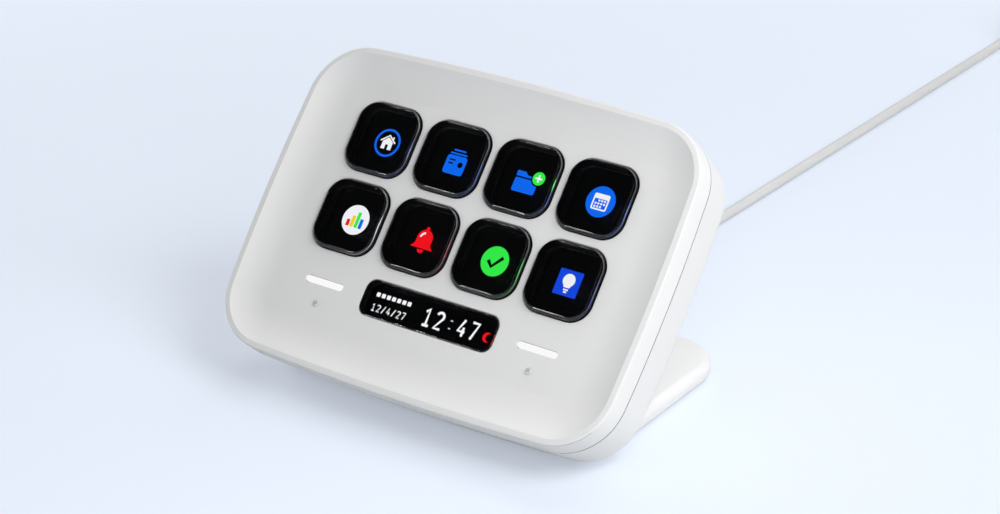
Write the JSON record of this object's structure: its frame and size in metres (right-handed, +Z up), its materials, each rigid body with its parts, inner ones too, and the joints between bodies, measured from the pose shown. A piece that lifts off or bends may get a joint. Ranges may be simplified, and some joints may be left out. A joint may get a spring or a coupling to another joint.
{
  "type": "desk keypad",
  "caption": "Pale desk keypad with clear picture keys over a display, an info window, lit bars, touch points, a fixed foot and a cable with its plug.",
  "frame": {"origin": "on the desk under the middle of the keypad and its foot, cable left out", "axes": "+Z up; -Y is the side the face looks to; +X is the right of someone facing the keys"},
  "size_m": [0.1088, 0.3449, 0.07],
  "materials": {
    "white_shell": "fine matte moulding",
    "white_foot": "fine matte moulding",
    "clear_key": "clear polished acrylic over a dark display",
    "clear_lens": "clear polished acrylic over a dark display",
    "light_guide": "lit white light guide",
    "pip": "polished pale grey",
    "soft_pad": "conductive foam",
    "silicone": "matte silicone",
    "circuit_board": "black solder mask",
    "led": "white LED",
    "display_glass": "black display glass",
    "white_frame": "white backlight frame",
    "sheet_metal": "bright sheet steel",
    "connector": "ivory connector plastic",
    "chip": "matte black package",
    "tin": "tinned can",
    "flex_film": "amber polyimide",
    "screw_steel": "zinc plated",
    "ballast_steel": "plain steel",
    "foot_rubber": "matte grey rubber",
    "boot": "soft light grey",
    "wires": "bundled wires",
    "cable_jacket": "smooth light grey jacket",
    "tie": "hook and loop tape",
    "plug_body": "light grey overmould",
    "plug_metal": "nickel plated",
    "plug_tongue": "black insulator"
  },
  "bodies": {
    "case": {"front_shell": "white_shell", "rear_shell": "white_shell", "stand_foot": "white_foot", "info_lens": "clear_lens", "light_bar_left": "light_guide", "light_bar_right": "light_guide", "touch_pip_left": "pip", "touch_pip_right": "pip", "touch_pad_left": "soft_pad", "touch_pad_right": "soft_pad", "key_membrane": "silicone", "key_board": "circuit_board", "bar_leds": "led", "display_panel": "display_glass", "display_backlight": "white_frame", "display_bracket": "sheet_metal", "main_board": "circuit_board", "display_connector": "connector", "board_link": "connector", "controller_chip": "chip", "memory_chip": "chip", "clock_crystal": "tin", "power_regulator": "chip", "cable_header": "connector", "display_flex": "flex_film", "shell_screws": "screw_steel", "board_screws": "screw_steel", "post_screws": "screw_steel", "stand_screws": "screw_steel", "ballast_plate": "ballast_steel", "foot_pad": "foot_rubber", "strain_relief": "boot", "cable_wires": "wires", "usb_cable": "cable_jacket", "cable_coil": "cable_jacket", "cable_tie": "tie", "usb_plug_body": "plug_body", "usb_plug_shell": "plug_metal", "usb_plug_tongue": "plug_tongue"},
    "key_1": {"key_cap_1": "clear_key"},
    "key_2": {"key_cap_2": "clear_key"},
    "key_3": {"key_cap_3": "clear_key"},
    "key_4": {"key_cap_4": "clear_key"},
    "key_5": {"key_cap_5": "clear_key"},
    "key_6": {"key_cap_6": "clear_key"},
    "key_7": {"key_cap_7": "clear_key"},
    "key_8": {"key_cap_8": "clear_key"}
  },
  "joints": [
    {"name": "key_1_press", "type": "slide", "parent": "case", "child": "key_1", "axis": [0, 0.7604, -0.6494], "range_m": [0, 0.001], "stiffness_N_per_m": 400, "springref_m": -0.0005},
    {"name": "key_2_press", "type": "slide", "parent": "case", "child": "key_2", "axis": [0, 0.7604, -0.6494], "range_m": [0, 0.001], "stiffness_N_per_m": 400, "springref_m": -0.0005},
    {"name": "key_3_press", "type": "slide", "parent": "case", "child": "key_3", "axis": [0, 0.7604, -0.6494], "range_m": [0, 0.001], "stiffness_N_per_m": 400, "springref_m": -0.0005},
    {"name": "key_4_press", "type": "slide", "parent": "case", "child": "key_4", "axis": [0, 0.7604, -0.6494], "range_m": [0, 0.001], "stiffness_N_per_m": 400, "springref_m": -0.0005},
    {"name": "key_5_press", "type": "slide", "parent": "case", "child": "key_5", "axis": [0, 0.7604, -0.6494], "range_m": [0, 0.001], "stiffness_N_per_m": 400, "springref_m": -0.0005},
    {"name": "key_6_press", "type": "slide", "parent": "case", "child": "key_6", "axis": [0, 0.7604, -0.6494], "range_m": [0, 0.001], "stiffness_N_per_m": 400, "springref_m": -0.0005},
    {"name": "key_7_press", "type": "slide", "parent": "case", "child": "key_7", "axis": [0, 0.7604, -0.6494], "range_m": [0, 0.001], "stiffness_N_per_m": 400, "springref_m": -0.0005},
    {"name": "key_8_press", "type": "slide", "parent": "case", "child": "key_8", "axis": [0, 0.7604, -0.6494], "range_m": [0, 0.001], "stiffness_N_per_m": 400, "springref_m": -0.0005}
  ]
}
